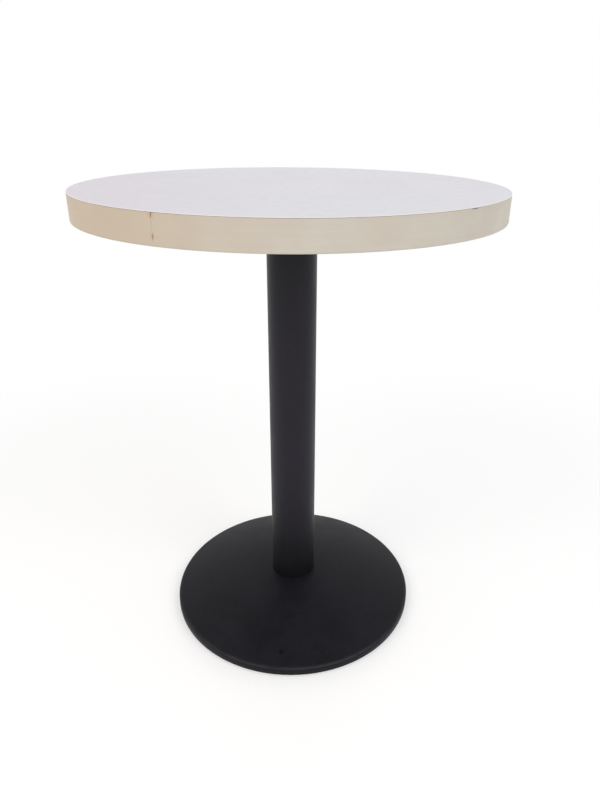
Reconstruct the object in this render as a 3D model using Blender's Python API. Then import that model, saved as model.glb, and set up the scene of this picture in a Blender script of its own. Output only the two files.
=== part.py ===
"""Round pedestal table: a laminated top on a tubular column and a domed steel base with levelling glides.

Metres, +Z up. The origin is on the floor, under the middle of the table. The front is at -Y.
"""

from math import asin, atan2, cos, hypot, pi, radians, sin

import bmesh
import bpy
from mathutils import Matrix, Vector

# Overall sizes
TABLE_HEIGHT = 0.720
CONTACT_GAP = 0.0003
CUT_MARGIN = 0.002
DISC_SEGMENTS = 96
COLUMN_SEGMENTS = 48
SMALL_SEGMENTS = 20
SCREW_SEGMENTS = 12
SHARP_ANGLE = radians(30)

# Table top: a chipboard core between two sheets, and a strip round the edge with one butt joint
TOP_DIAMETER = 0.600
TOP_THICKNESS = 0.036
TOP_SHEET = 0.0010
TOP_EDGE_EASE = 0.0004
BACKING_SHEET = 0.0008
EDGE_STRIP = 0.0010
EDGE_JOINT_ANGLE = radians(-117.5)
EDGE_JOINT_WIDTH = 0.0005

# Spider: a square hub with a collar round the column, and welded arms that carry the top
SPIDER_THICKNESS = 0.006
HUB_LEDGE = 0.005
HUB_CORNER = 0.010
COLLAR_WALL = 0.003
COLLAR_HEIGHT = 0.012
ARM_COUNT = 4
ARM_WIDTH = 0.032
ARM_REACH = 0.195
ARM_TIP_STEPS = 12
FIRST_ARM_ANGLE = radians(45)

# Pan-head wood screws from the arms up into the top
SCREW_ROOT_DISTANCE = 0.054
SCREW_TIP_DISTANCE = 0.023
SCREW_DIAMETER = 0.005
SCREW_BITE = 0.018
SCREW_POINT = 0.005
SCREW_HEAD_DIAMETER = 0.0096
SCREW_HEAD_HEIGHT = 0.0032
SCREW_HEAD_RIM = 0.0011
SCREW_CROWN_STEPS = 3
SCREW_CROSS_WIDTH = 0.0012
SCREW_CROSS_SPAN = 0.0052
SCREW_CROSS_DEPTH = 0.0016

# Column: a tube with a tapped plug welded into each end
COLUMN_DIAMETER = 0.075
COLUMN_WALL = 0.002
COLUMN_EDGE_EASE = 0.0004
HEAD_PLUG_HEIGHT = 0.016
FOOT_PLUG_HEIGHT = 0.020

# Countersunk socket bolts: through the hub into the head plug, and through the plate into the foot plug
HUB_BOLT_DIAMETER = 0.010
HUB_BOLT_HEAD = 0.020
HUB_BOLT_BITE = 0.012
HUB_BOLT_KEY = 0.006
HUB_BOLT_KEY_DEPTH = 0.0032
BASE_BOLT_DIAMETER = 0.012
BASE_BOLT_HEAD = 0.024
BASE_BOLT_BITE = 0.015
BASE_BOLT_KEY = 0.008
BASE_BOLT_KEY_DEPTH = 0.0045
BOLT_HEAD_LAND = 0.0006
BOLT_END_CHAMFER = 0.001

# Base: a heavy steel plate under a domed sheet cover, which the column passes through
BASE_DIAMETER = 0.418
PLATE_THICKNESS = 0.010
PLATE_EDGE_RADIUS = 0.0017
PLATE_LOWER_EASE = 0.0005
COVER_SHEET = 0.002
COVER_RISE = 0.034
COVER_DOME_STEPS = 6
BASE_EDGE_STEPS = 4

# Levelling glides: a nylon pad that swivels on the pin of a threaded stud, in a blind hole of the plate
GLIDE_COUNT = 4
GLIDE_INSET = 0.034
FIRST_GLIDE_ANGLE = radians(45)
PAD_DIAMETER = 0.030
PAD_HEIGHT = 0.0030
PAD_FLOOR = 0.0012
PAD_EASE = 0.0008
STUD_DIAMETER = 0.008
STUD_END_CHAMFER = 0.0008
STUD_HEX_WIDTH = 0.013
STUD_HEX_HEIGHT = 0.0014
STUD_PIN_DIAMETER = 0.005
BLIND_HOLE_ROOF = 0.0016

# Heights that follow from the sizes above
UNDERSIDE = TABLE_HEIGHT - TOP_THICKNESS
CORE_BOTTOM = UNDERSIDE + BACKING_SHEET + CONTACT_GAP
CORE_TOP = TABLE_HEIGHT - TOP_SHEET - CONTACT_GAP
SPIDER_TOP = UNDERSIDE - CONTACT_GAP
SPIDER_BOTTOM = SPIDER_TOP - SPIDER_THICKNESS
SCREW_SEAT = SPIDER_BOTTOM - CONTACT_GAP
SCREW_LENGTH = UNDERSIDE + SCREW_BITE - SCREW_SEAT
STUD_HEX_BOTTOM = PAD_HEIGHT + CONTACT_GAP
BASE_BOTTOM = STUD_HEX_BOTTOM + STUD_HEX_HEIGHT + CONTACT_GAP
PLATE_TOP = BASE_BOTTOM + PLATE_THICKNESS
RIM_CENTRE_HEIGHT = PLATE_TOP - PLATE_EDGE_RADIUS
STUD_TOP = PLATE_TOP - BLIND_HOLE_ROOF - CONTACT_GAP
COLUMN_BOTTOM = PLATE_TOP + CONTACT_GAP
COLUMN_TOP = SPIDER_BOTTOM - CONTACT_GAP

# Radii that follow from the sizes above
TOP_RADIUS = TOP_DIAMETER / 2
STRIP_INNER_RADIUS = TOP_RADIUS - EDGE_STRIP
CORE_RADIUS = STRIP_INNER_RADIUS - CONTACT_GAP
COLUMN_RADIUS = COLUMN_DIAMETER / 2
TUBE_INNER_RADIUS = COLUMN_RADIUS - COLUMN_WALL
PLUG_RADIUS = TUBE_INNER_RADIUS - CONTACT_GAP
COLLAR_INNER_RADIUS = COLUMN_RADIUS + CONTACT_GAP
COLLAR_RADIUS = COLLAR_INNER_RADIUS + COLLAR_WALL
HUB_HALF_WIDTH = COLLAR_RADIUS + HUB_LEDGE
ARM_ROOT = HUB_HALF_WIDTH + CONTACT_GAP
BASE_RADIUS = BASE_DIAMETER / 2
PLATE_RADIUS = BASE_RADIUS - COVER_SHEET - CONTACT_GAP
RIM_CENTRE_RADIUS = PLATE_RADIUS - PLATE_EDGE_RADIUS
COVER_INNER_EDGE = PLATE_EDGE_RADIUS + CONTACT_GAP
COVER_HOLE_RADIUS = COLUMN_RADIUS + CONTACT_GAP
GLIDE_CIRCLE_RADIUS = BASE_RADIUS - GLIDE_INSET


def clear_scene():
    for obj in list(bpy.data.objects):
        bpy.data.objects.remove(obj, do_unlink=True)


def make_material(name, colour, roughness, metallic=0.0):
    material = bpy.data.materials.new(name)
    material.use_nodes = True
    shader = material.node_tree.nodes["Principled BSDF"]
    shader.inputs["Base Color"].default_value = (*colour, 1.0)
    shader.inputs["Roughness"].default_value = roughness
    shader.inputs["Metallic"].default_value = metallic
    return material


def add_object(name, mesh, material=None, location=(0, 0, 0), turn=0.0):
    """Links a mesh to the scene as a named object, turned about its own Z."""
    obj = bpy.data.objects.new(name, mesh)
    obj.location = location
    obj.rotation_euler = (0, 0, turn)
    bpy.context.scene.collection.objects.link(obj)
    if material is not None and not mesh.materials:
        mesh.materials.append(material)
    return obj


def add_cutter(name, mesh, **placing):
    """A helper shape that only cuts or joins, and isn't a piece of the table."""
    cutter = add_object(name, mesh, **placing)
    cutter.hide_render = True
    cutter.display_type = "WIRE"
    return cutter


def boolean(obj, other, operation="DIFFERENCE"):
    modifier = obj.modifiers.new(f"{operation.lower()} {other.name}", "BOOLEAN")
    modifier.operation = operation
    modifier.object = other
    modifier.solver = "EXACT"


def finish_mesh(bm, name):
    """Turns a bmesh into a mesh with its faces pointing out and its round faces smooth."""
    bmesh.ops.recalc_face_normals(bm, faces=bm.faces)
    mesh = bpy.data.meshes.new(name)
    bm.to_mesh(mesh)
    bm.free()
    mesh.shade_smooth()
    mesh.set_sharp_from_angle(angle=SHARP_ANGLE)
    return mesh


def spin_profile(bm, profile, segments, centre, closed, start, sweep):
    """Turns (radius, height) points about a vertical line through centre."""
    x, y = centre
    points = [bm.verts.new((x + r * cos(start), y + r * sin(start), z)) for r, z in profile]
    pairs = list(zip(points, points[1:]))
    if closed:
        pairs.append((points[-1], points[0]))
    edges = [bm.edges.new(pair) for pair in pairs]
    bmesh.ops.spin(
        bm, geom=points + edges, cent=(x, y, 0), axis=(0, 0, 1), angle=sweep, steps=segments,
        use_merge=sweep == 2 * pi,
    )
    bmesh.ops.remove_doubles(bm, verts=bm.verts, dist=1e-6)
    open_ends = [edge for edge in bm.edges if edge.is_boundary]
    if open_ends:
        bmesh.ops.holes_fill(bm, edges=open_ends)


def turned_mesh(name, profile, segments, centres=((0, 0),), closed=False, start=0.0, sweep=2 * pi):
    """Turned solids. A closed profile is a ring's section, and an open one starts and ends on the axis."""
    bm = bmesh.new()
    for centre in centres:
        spin_profile(bm, profile, segments, centre, closed, start, sweep)
    return finish_mesh(bm, name)


def extruded_mesh(name, outline, bottom, top):
    """A plate with the given (x, y) outline between two heights."""
    bm = bmesh.new()
    face = bm.faces.new([bm.verts.new((x, y, bottom)) for x, y in outline])
    made = bmesh.ops.extrude_face_region(bm, geom=[face])
    moved = [item for item in made["geom"] if isinstance(item, bmesh.types.BMVert)]
    bmesh.ops.translate(bm, verts=moved, vec=(0, 0, top - bottom))
    return finish_mesh(bm, name)


def hexagon_mesh(name, across_flats, bottom, top):
    bm = bmesh.new()
    corner = across_flats / 2 / cos(pi / 6)
    middle = Matrix.Translation((0, 0, (bottom + top) / 2))
    bmesh.ops.create_cone(
        bm, cap_ends=True, segments=6, radius1=corner, radius2=corner, depth=top - bottom, matrix=middle
    )
    return finish_mesh(bm, name)


def arc_points(centre, radius, first, last, steps):
    """Points on an arc, both ends included."""
    angles = [first + (last - first) * i / steps for i in range(steps + 1)]
    return [(centre[0] + radius * cos(a), centre[1] + radius * sin(a)) for a in angles]


def round_angles(count, first):
    return [first + 2 * pi * i / count for i in range(count)]


def four_way_outline(points):
    """Repeats a run of (x, y) points in each quarter turn, to close an outline."""
    turns = [Matrix.Rotation(quarter * pi / 2, 2) for quarter in range(4)]
    return [tuple(turn @ Vector(point)) for turn in turns for point in points]


def disc_profile(radius, bottom, top):
    return [(0, bottom), (radius, bottom), (radius, top), (0, top)]


def ring_section(inner, outer, bottom, top):
    return [(inner, bottom), (outer, bottom), (outer, top), (inner, top)]


def bolt_profile(diameter, head, length):
    """Section of a countersunk bolt that points up, with its head's face at zero height."""
    shank, wide = diameter / 2, head / 2
    neck = BOLT_HEAD_LAND + wide - shank
    return [
        (0, 0), (wide, 0), (wide, BOLT_HEAD_LAND), (shank, neck), (shank, length - BOLT_END_CHAMFER),
        (shank - BOLT_END_CHAMFER, length), (0, length),
    ]


def bolt_room_profile(diameter, head, length):
    """Section of the room that such a bolt needs, open past its head."""
    shank, wide = diameter / 2 + CONTACT_GAP, head / 2 + CONTACT_GAP
    neck, end = BOLT_HEAD_LAND + wide - shank, length + CONTACT_GAP
    return [
        (0, -CUT_MARGIN), (wide, -CUT_MARGIN), (wide, BOLT_HEAD_LAND), (shank, neck), (shank, end), (0, end)
    ]


def make_bolt(name, material, place, sizes, key, key_depth):
    """A countersunk bolt with a hexagon socket. Returns the cutter that makes room for it."""
    socket_name, room_name = f"{name}_socket", f"{name}_room"
    bolt = add_object(name, turned_mesh(name, bolt_profile(*sizes), SMALL_SEGMENTS), material)
    socket = add_cutter(socket_name, hexagon_mesh(socket_name, key, -CUT_MARGIN, key_depth))
    room = add_cutter(room_name, turned_mesh(room_name, bolt_room_profile(*sizes), SMALL_SEGMENTS))
    for obj in (bolt, socket, room):
        obj.matrix_world = place
    boolean(bolt, socket)
    return room


def make_hub_bolt(steel):
    """The bolt that points down, its head just under the upper face of the hub."""
    place = Matrix.Translation((0, 0, SPIDER_TOP - CONTACT_GAP)) @ Matrix.Rotation(pi, 4, "X")
    length = SPIDER_TOP - COLUMN_TOP + HUB_BOLT_BITE
    sizes = (HUB_BOLT_DIAMETER, HUB_BOLT_HEAD, length)
    return make_bolt("hub_bolt", steel, place, sizes, HUB_BOLT_KEY, HUB_BOLT_KEY_DEPTH)


def make_base_bolt(steel):
    """The bolt that points up, its head just inside the lower face of the plate."""
    place = Matrix.Translation((0, 0, BASE_BOTTOM + CONTACT_GAP))
    length = COLUMN_BOTTOM - BASE_BOTTOM + BASE_BOLT_BITE
    sizes = (BASE_BOLT_DIAMETER, BASE_BOLT_HEAD, length)
    return make_bolt("base_bolt", steel, place, sizes, BASE_BOLT_KEY, BASE_BOLT_KEY_DEPTH)


def screw_places():
    """(x, y) of every wood screw, arm by arm."""
    radii = (ARM_ROOT + SCREW_ROOT_DISTANCE, ARM_REACH - SCREW_TIP_DISTANCE)
    return [(r * cos(a), r * sin(a)) for a in round_angles(ARM_COUNT, FIRST_ARM_ANGLE) for r in radii]


def screw_mesh():
    """A pan-head wood screw that points up, with the seat of its head at zero height."""
    shank, head = SCREW_DIAMETER / 2, SCREW_HEAD_DIAMETER / 2
    crown = SCREW_HEAD_HEIGHT - SCREW_HEAD_RIM
    angles = [pi / 2 * (1 - i / SCREW_CROWN_STEPS) for i in range(SCREW_CROWN_STEPS + 1)]
    profile = [(head * cos(a), -SCREW_HEAD_RIM - crown * sin(a)) for a in angles]
    profile += [(head, 0), (shank, 0), (shank, SCREW_LENGTH - SCREW_POINT), (0, SCREW_LENGTH)]
    return turned_mesh("top_screw", profile, SCREW_SEGMENTS)


def cross_mesh():
    """The cross-shaped recess of a screw head."""
    half, arm = SCREW_CROSS_WIDTH / 2, SCREW_CROSS_SPAN / 2
    outline = four_way_outline([(arm, -half), (arm, half), (half, half)])
    return extruded_mesh(
        "cross_recess", outline, -SCREW_HEAD_HEIGHT - CUT_MARGIN, -SCREW_HEAD_HEIGHT + SCREW_CROSS_DEPTH
    )


def make_screws(steel):
    """The wood screws. Returns one cutter that makes room for all of them."""
    mesh, recess = screw_mesh(), cross_mesh()
    for number, (x, y) in enumerate(screw_places(), 1):
        place = (x, y, SCREW_SEAT)
        screw = add_object(f"top_screw_{number}", mesh, steel, place)
        boolean(screw, add_cutter(f"cross_recess_{number}", recess, location=place))
    end = SCREW_SEAT + SCREW_LENGTH + CONTACT_GAP
    profile = disc_profile(SCREW_DIAMETER / 2 + CONTACT_GAP, SCREW_SEAT - CUT_MARGIN, end)
    return add_cutter("screw_room", turned_mesh("screw_room", profile, SCREW_SEGMENTS, screw_places()))


def make_top(white, beige, chipboard, backing, screw_room):
    """The laminated top: a core between two sheets, with a strip round its edge."""
    sheet_bottom, ease_bottom = TABLE_HEIGHT - TOP_SHEET, TABLE_HEIGHT - TOP_EDGE_EASE
    sheet = [
        (0, sheet_bottom), (TOP_RADIUS, sheet_bottom), (TOP_RADIUS, ease_bottom),
        (TOP_RADIUS - TOP_EDGE_EASE, TABLE_HEIGHT), (0, TABLE_HEIGHT),
    ]
    add_object("top_laminate", turned_mesh("top_laminate", sheet, DISC_SEGMENTS), white)
    core = disc_profile(CORE_RADIUS, CORE_BOTTOM, CORE_TOP)
    back = disc_profile(CORE_RADIUS, UNDERSIDE, UNDERSIDE + BACKING_SHEET)
    for name, profile, material in (("core_board", core, chipboard), ("backing_sheet", back, backing)):
        boolean(add_object(name, turned_mesh(name, profile, DISC_SEGMENTS), material), screw_room)
    joint = EDGE_JOINT_WIDTH / TOP_RADIUS
    strip = turned_mesh(
        "edge_strip", ring_section(STRIP_INNER_RADIUS, TOP_RADIUS, UNDERSIDE, CORE_TOP), DISC_SEGMENTS,
        closed=True, start=EDGE_JOINT_ANGLE + joint / 2, sweep=2 * pi - joint,
    )
    add_object("edge_strip", strip, beige)


def make_spider(black, bolt_room, screw_room):
    """The hub with its collar, and the arms that the top is screwed to."""
    corner = HUB_HALF_WIDTH - HUB_CORNER
    outline = four_way_outline([(HUB_HALF_WIDTH, -corner), (HUB_HALF_WIDTH, corner)])
    plate = extruded_mesh("spider_hub", outline, SPIDER_BOTTOM, SPIDER_TOP)
    hub = add_object("spider_hub", plate, black, turn=FIRST_ARM_ANGLE)
    low, high = SPIDER_BOTTOM - COLLAR_HEIGHT, SPIDER_BOTTOM + SPIDER_THICKNESS / 2
    section = ring_section(COLLAR_INNER_RADIUS, COLLAR_RADIUS, low, high)
    collar = add_cutter("collar", turned_mesh("collar", section, COLUMN_SEGMENTS, closed=True))
    boolean(hub, collar, "UNION")
    boolean(hub, bolt_room)
    half = ARM_WIDTH / 2
    tip = arc_points((ARM_REACH - half, 0), half, -pi / 2, pi / 2, ARM_TIP_STEPS)
    outline = [(ARM_ROOT, -half)] + tip + [(ARM_ROOT, half)]
    bar = extruded_mesh("spider_arm", outline, SPIDER_BOTTOM, SPIDER_TOP)
    for number, angle in enumerate(round_angles(ARM_COUNT, FIRST_ARM_ANGLE), 1):
        boolean(add_object(f"spider_arm_{number}", bar, black, turn=angle), screw_room)


def make_column(black, steel, hub_bolt_room, base_bolt_room):
    """The tube, and the tapped plug in each of its ends."""
    section = [
        (TUBE_INNER_RADIUS, COLUMN_BOTTOM), (COLUMN_RADIUS - COLUMN_EDGE_EASE, COLUMN_BOTTOM),
        (COLUMN_RADIUS, COLUMN_BOTTOM + COLUMN_EDGE_EASE), (COLUMN_RADIUS, COLUMN_TOP),
        (TUBE_INNER_RADIUS, COLUMN_TOP),
    ]
    add_object("column_tube", turned_mesh("column_tube", section, COLUMN_SEGMENTS, closed=True), black)
    foot = disc_profile(PLUG_RADIUS, COLUMN_BOTTOM, COLUMN_BOTTOM + FOOT_PLUG_HEIGHT)
    head = disc_profile(PLUG_RADIUS, COLUMN_TOP - HEAD_PLUG_HEIGHT, COLUMN_TOP)
    for name, profile, room in (("foot_plug", foot, base_bolt_room), ("head_plug", head, hub_bolt_room)):
        boolean(add_object(name, turned_mesh(name, profile, COLUMN_SEGMENTS), steel), room)


def glide_places():
    """(x, y) of every glide."""
    angles = round_angles(GLIDE_COUNT, FIRST_GLIDE_ANGLE)
    return [(GLIDE_CIRCLE_RADIUS * cos(a), GLIDE_CIRCLE_RADIUS * sin(a)) for a in angles]


def pad_profile():
    """Section of a pad, with the socket that the stud's pin turns in."""
    radius, socket = PAD_DIAMETER / 2, STUD_PIN_DIAMETER / 2 + CONTACT_GAP
    return [
        (0, 0), (radius - PAD_EASE, 0), (radius, PAD_EASE), (radius, PAD_HEIGHT - PAD_EASE),
        (radius - PAD_EASE, PAD_HEIGHT), (socket, PAD_HEIGHT), (socket, PAD_FLOOR), (0, PAD_FLOOR),
    ]


def stud_profile():
    """Section of a stud without its hexagon: the pin below, the threaded shank above."""
    shank, pin = STUD_DIAMETER / 2, STUD_PIN_DIAMETER / 2
    pin_end, step = PAD_FLOOR + CONTACT_GAP, STUD_HEX_BOTTOM + STUD_HEX_HEIGHT / 2
    return [
        (0, pin_end), (pin, pin_end), (pin, step), (shank, step), (shank, STUD_TOP - STUD_END_CHAMFER),
        (shank - STUD_END_CHAMFER, STUD_TOP), (0, STUD_TOP),
    ]


def make_glides(nylon, steel):
    """The pads and studs, with their origins on their axes. Returns one cutter for the blind holes."""
    pad_mesh = turned_mesh("glide_pad", pad_profile(), SMALL_SEGMENTS)
    stud_mesh = turned_mesh("glide_stud", stud_profile(), SMALL_SEGMENTS)
    hex_mesh = hexagon_mesh("stud_hex", STUD_HEX_WIDTH, STUD_HEX_BOTTOM, STUD_HEX_BOTTOM + STUD_HEX_HEIGHT)
    for number, (x, y) in enumerate(glide_places(), 1):
        add_object(f"glide_pad_{number}", pad_mesh, nylon, (x, y, 0))
        stud = add_object(f"glide_stud_{number}", stud_mesh, steel, (x, y, 0))
        boolean(stud, add_cutter(f"stud_hex_{number}", hex_mesh, location=(x, y, 0)), "UNION")
    hole_radius, hole_end = STUD_DIAMETER / 2 + CONTACT_GAP, PLATE_TOP - BLIND_HOLE_ROOF
    hole = disc_profile(hole_radius, BASE_BOTTOM - CUT_MARGIN, hole_end)
    return add_cutter("stud_holes", turned_mesh("stud_holes", hole, SMALL_SEGMENTS, glide_places()))


def cover_skin(edge_radius):
    """One skin of the cover, from its lower rim over a rounded edge and a spherical dome to its hole."""
    span = RIM_CENTRE_RADIUS ** 2 - COVER_HOLE_RADIUS ** 2
    depth = (span - COVER_RISE ** 2) / (2 * COVER_RISE)
    slope = atan2(RIM_CENTRE_RADIUS, depth)
    dome_radius = hypot(RIM_CENTRE_RADIUS, depth) + edge_radius
    dome_centre = (0, RIM_CENTRE_HEIGHT - depth)
    rim_centre = (RIM_CENTRE_RADIUS, RIM_CENTRE_HEIGHT)
    hole_edge = pi / 2 - asin(COVER_HOLE_RADIUS / dome_radius)
    edge = arc_points(rim_centre, edge_radius, 0.0, pi / 2 - slope, BASE_EDGE_STEPS)
    dome = arc_points(dome_centre, dome_radius, pi / 2 - slope, hole_edge, COVER_DOME_STEPS)
    return [(RIM_CENTRE_RADIUS + edge_radius, BASE_BOTTOM), *edge, *dome[1:]]


def make_base(black, bolt_room, stud_holes):
    """The plate, with a countersunk hole in the middle and a blind hole for each glide, and its cover."""
    edge_centre = (RIM_CENTRE_RADIUS, RIM_CENTRE_HEIGHT)
    profile = [
        (0, BASE_BOTTOM), (PLATE_RADIUS - PLATE_LOWER_EASE, BASE_BOTTOM),
        (PLATE_RADIUS, BASE_BOTTOM + PLATE_LOWER_EASE),
        *arc_points(edge_centre, PLATE_EDGE_RADIUS, 0.0, pi / 2, BASE_EDGE_STEPS), (0, PLATE_TOP),
    ]
    plate = add_object("base_plate", turned_mesh("base_plate", profile, DISC_SEGMENTS), black)
    boolean(plate, bolt_room)
    boolean(plate, stud_holes)
    section = cover_skin(COVER_INNER_EDGE + COVER_SHEET) + cover_skin(COVER_INNER_EDGE)[::-1]
    add_object("base_cover", turned_mesh("base_cover", section, DISC_SEGMENTS, closed=True), black)


def main():
    clear_scene()
    white = make_material("white_laminate", (0.74, 0.73, 0.77), 0.38)
    beige = make_material("beige_edge", (0.60, 0.53, 0.45), 0.45)
    chipboard = make_material("chipboard", (0.45, 0.31, 0.18), 0.90)
    backing = make_material("backing_sheet", (0.26, 0.21, 0.16), 0.60)
    black = make_material("black_powder_coat", (0.020, 0.020, 0.022), 0.45)
    steel = make_material("zinc_steel", (0.58, 0.58, 0.56), 0.35, 1.0)
    nylon = make_material("black_nylon", (0.018, 0.018, 0.018), 0.50)

    screw_room = make_screws(steel)
    hub_bolt_room = make_hub_bolt(steel)
    base_bolt_room = make_base_bolt(steel)
    make_top(white, beige, chipboard, backing, screw_room)
    make_spider(black, hub_bolt_room, screw_room)
    make_column(black, steel, hub_bolt_room, base_bolt_room)
    stud_holes = make_glides(nylon, steel)
    make_base(black, base_bolt_room, stud_holes)


main()
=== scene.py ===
"""Round pedestal table: the looks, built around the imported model.

Metres, +Z up, in the model's own frame. The front is at -Y. Colours are written as sRGB bytes.
"""

from math import asin, atan2, cos, hypot, pi, radians, sin, sqrt

import bmesh
import bpy
from mathutils import Matrix, Vector


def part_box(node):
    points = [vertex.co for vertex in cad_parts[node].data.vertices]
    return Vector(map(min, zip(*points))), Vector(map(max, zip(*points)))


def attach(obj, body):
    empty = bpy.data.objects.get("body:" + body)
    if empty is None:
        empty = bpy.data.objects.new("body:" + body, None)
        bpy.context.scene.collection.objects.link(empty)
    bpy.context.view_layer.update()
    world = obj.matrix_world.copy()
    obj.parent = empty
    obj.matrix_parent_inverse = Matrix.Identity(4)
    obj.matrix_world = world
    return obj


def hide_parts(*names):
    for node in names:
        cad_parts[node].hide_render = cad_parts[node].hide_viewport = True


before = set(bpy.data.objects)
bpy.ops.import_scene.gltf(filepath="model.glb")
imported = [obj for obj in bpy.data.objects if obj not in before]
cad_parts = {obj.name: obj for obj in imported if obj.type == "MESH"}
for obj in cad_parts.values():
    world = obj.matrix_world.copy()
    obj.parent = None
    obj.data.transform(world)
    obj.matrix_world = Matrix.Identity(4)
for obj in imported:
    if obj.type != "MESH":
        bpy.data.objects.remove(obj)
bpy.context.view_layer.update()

# Camera, as fitted to the outlines. The frame is 600 by 800 pixels, and the sensor spans its height
FRAME_WIDTH = 600
FRAME_HEIGHT = 800
SENSOR_HEIGHT = 36.0
FOCAL_PIXELS = 624.97
CENTRE_PIXEL = (313.39, 390.08)
CAMERA_PLACE = Vector((0.0202, -0.9243, 0.8141))
CAMERA_YAW = radians(0.8403)
CAMERA_PITCH = radians(23.9993)
CAMERA_ROLL = radians(0.5717)

# Lamps: each has a place, a power, a colour, and whether it shows in gloss
LAMP_SIZE = 2.0
LAMP_TARGET = (0, 0, 0.45)
LAMPS = {
    "left_key": ((-1.85, -1.75, 2.05), 34.5, (1.0, 0.945, 0.875), True),
    "right_fill": ((1.85, -1.75, 2.05), 34.5, (0.985, 0.985, 0.98), True),
    "back_fill": ((0, 2.6, 1.0), 16.0, (1.0, 0.985, 0.96), False),
}

# World and floor
AMBIENT = 0.55
FLOOR_RADIUS = 5.0
FLOOR_SIDES = 64
FLOOR_DROP = 0.0002
FLOOR_COLOUR = (203, 203, 204)
FLOOR_LIFT = 0.45
FLOOR_FADE = (0.5, 1.4)

# Mesh finish. A cutter is turned a little, so that its edges don't fall on those of a turned piece
SHARP_ANGLE = radians(35)
SAME_LEVEL = 1e-6
DISC_SEGMENTS = 256
COLUMN_SEGMENTS = 128
SMALL_SEGMENTS = 64
SCREW_SEGMENTS = 32
CUT_MARGIN = 0.002
CUT_TURN = 0.02
GAP = 0.0003

# Top sheet: a rounded white decor edge over the brown core that shows as a line
DECOR_DEPTH = 0.0006
DECOR_ROUND = 0.00048
SHEET_LOWER_EASE = 0.0001
SHEET_RINGS = (0.297, 0.285, 0.24, 0.18, 0.12, 0.06, 0.02)

# Insets from the sheet's edge where the painted highlight on its rim begins and is full
RIM_HIGHLIGHT_INSETS = (0.0020, 0.0008)

# Edge band: one length, whose ends meet in a joint
BAND_WALL = 0.0010
BAND_LIFT = 0.00025
BAND_EASE = 0.0004
BAND_EASE_MIDDLE = 0.3
BAND_UPPER_EASE = 0.0002
BAND_PLAIN_ROWS = (0.002, 0.004, 0.020, 0.026)
JOINT_ANGLE = radians(-117.5)
JOINT_COLUMNS = (0.0, 0.0015, 0.003, 0.0055)

# Plain columns keep clear of the joint by a multiple of its last column, and of the chip by an angle
JOINT_MARGIN = 1.5
CHIP_MARGIN = 0.01

# Chips at the joint: heights, and how far the left and the right end are worn back there
JOINT_CHIPS = (
    (0.0000, 0.00005, 0.00005),
    (0.0060, 0.00005, 0.00005),
    (0.0072, 0.0003, 0.0002),
    (0.0085, 0.0003, 0.0003),
    (0.0100, 0.0002, 0.0004),
    (0.0115, 0.0003, 0.0002),
    (0.0130, 0.0002, 0.0002),
    (0.0148, 0.00006, 0.00006),
    (0.0280, 0.00006, 0.00006),
    (0.0295, 0.0002, 0.0003),
    (0.0308, 0.0004, 0.0002),
    (0.0320, 0.0003, 0.0004),
    (0.0332, 0.0006, 0.0003),
    (0.0350, 0.0007, 0.0005),
)
LOWER_STAIN_RISE = 0.0105
UPPER_STAIN_DROP = 0.002

# Chip in the band's upper edge: places along the edge, and how deep it is there
CHIP_ANGLE = radians(-46.3)
CHIP_FADE = 0.002
CHIP_DEPTHS = (
    (-0.0062, 0.0),
    (-0.0054, 0.0004),
    (-0.0024, 0.0005),
    (0.0, 0.0004),
    (0.0018, 0.0006),
    (0.0046, 0.0004),
    (0.0058, 0.0),
)

# Drops below the band's upper edge where the worn colour of the chip begins and is full
CHIP_WEAR = (0.0015, 0.0006)

# Column
COLUMN_WALL = 0.002
COLUMN_EASE = 0.0005
COLUMN_RINGS = 11

# Base: the domed cover, and the plate under it
COVER_SHEET = 0.002
COVER_RISE = 0.034
COVER_EDGE = 0.004
COVER_EDGE_STEPS = 12
COVER_DOME_STEPS = 28
COVER_LIP = 0.0004
PLATE_EDGE = 0.0017
PLATE_LOWER_EASE = 0.0006
PLATE_RINGS = (0.16, 0.11, 0.07)

# Powder coat
COAT_COLOURS = ((22, 19, 28), (27, 24, 34))
COAT_SPECULAR = 0.25
COAT_ROUGHNESS = 0.46
BASE_COLOURS = ((21, 20, 25), (26, 25, 31))
BASE_SPECULAR = 0.11
BASE_ROUGHNESS = 0.45
BASE_MARK = (-0.016, -0.1816, 0.025)

# Heights where the painted highlight on the base's rim begins and is full, from below and from above
RIM_HIGHLIGHT = ((0.0142, 0.0157), (0.0182, 0.0166))

# Heights between which the painted shade at the column's foot fades
COLUMN_SHADE = (0.05, 0.24)

# Spider
COLLAR_WALL = 0.003
COLLAR_SINK = 0.003
HUB_CORNER = 0.010
ARM_COUNT = 4
FIRST_ARM_ANGLE = pi / 4
ARM_WIDTH = 0.032
ARM_REACH = 0.195
ARM_TIP_STEPS = 24
SPIDER_EASE = 0.0007

# Weld beads. An open bead begins at a share of its full size, and gains a share with each station
BEAD_HEIGHT = 0.0016
BEAD_SIDES = 10
BEAD_RIPPLE = 0.0017
BEAD_RIPPLE_STEPS = 4
BEAD_SWELL = 0.14
BEAD_ROOT = 0.5
BEAD_END = 0.35
BEAD_END_GAIN = 0.16
ARM_BEAD_WIDTH = 0.0056
ARM_BEAD_SHARE = 0.97
ARM_BEAD_STEPS = 72
COLLAR_BEAD_WIDTH = 0.0046

# Wood screws
SCREW_COUNT = 8
SCREW_DIAMETER = 0.005
SCREW_HEAD_HEIGHT = 0.0032
SCREW_HEAD_RIM = 0.0011
SCREW_HEAD_EASE = 0.0002
SCREW_CROWN_STEPS = 8
SCREW_NECK = 0.008
SCREW_POINT = 0.006
SCREW_PITCH = 0.0022
SCREW_THREAD = 0.0007
SCREW_TURN = 0.9
CROSS_WIDTH = 0.0013
CROSS_SPAN = 0.0054
CROSS_DEPTH = 0.0019
CROSS_RISE = 0.0005
CROSS_TAPER = 0.62

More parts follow.
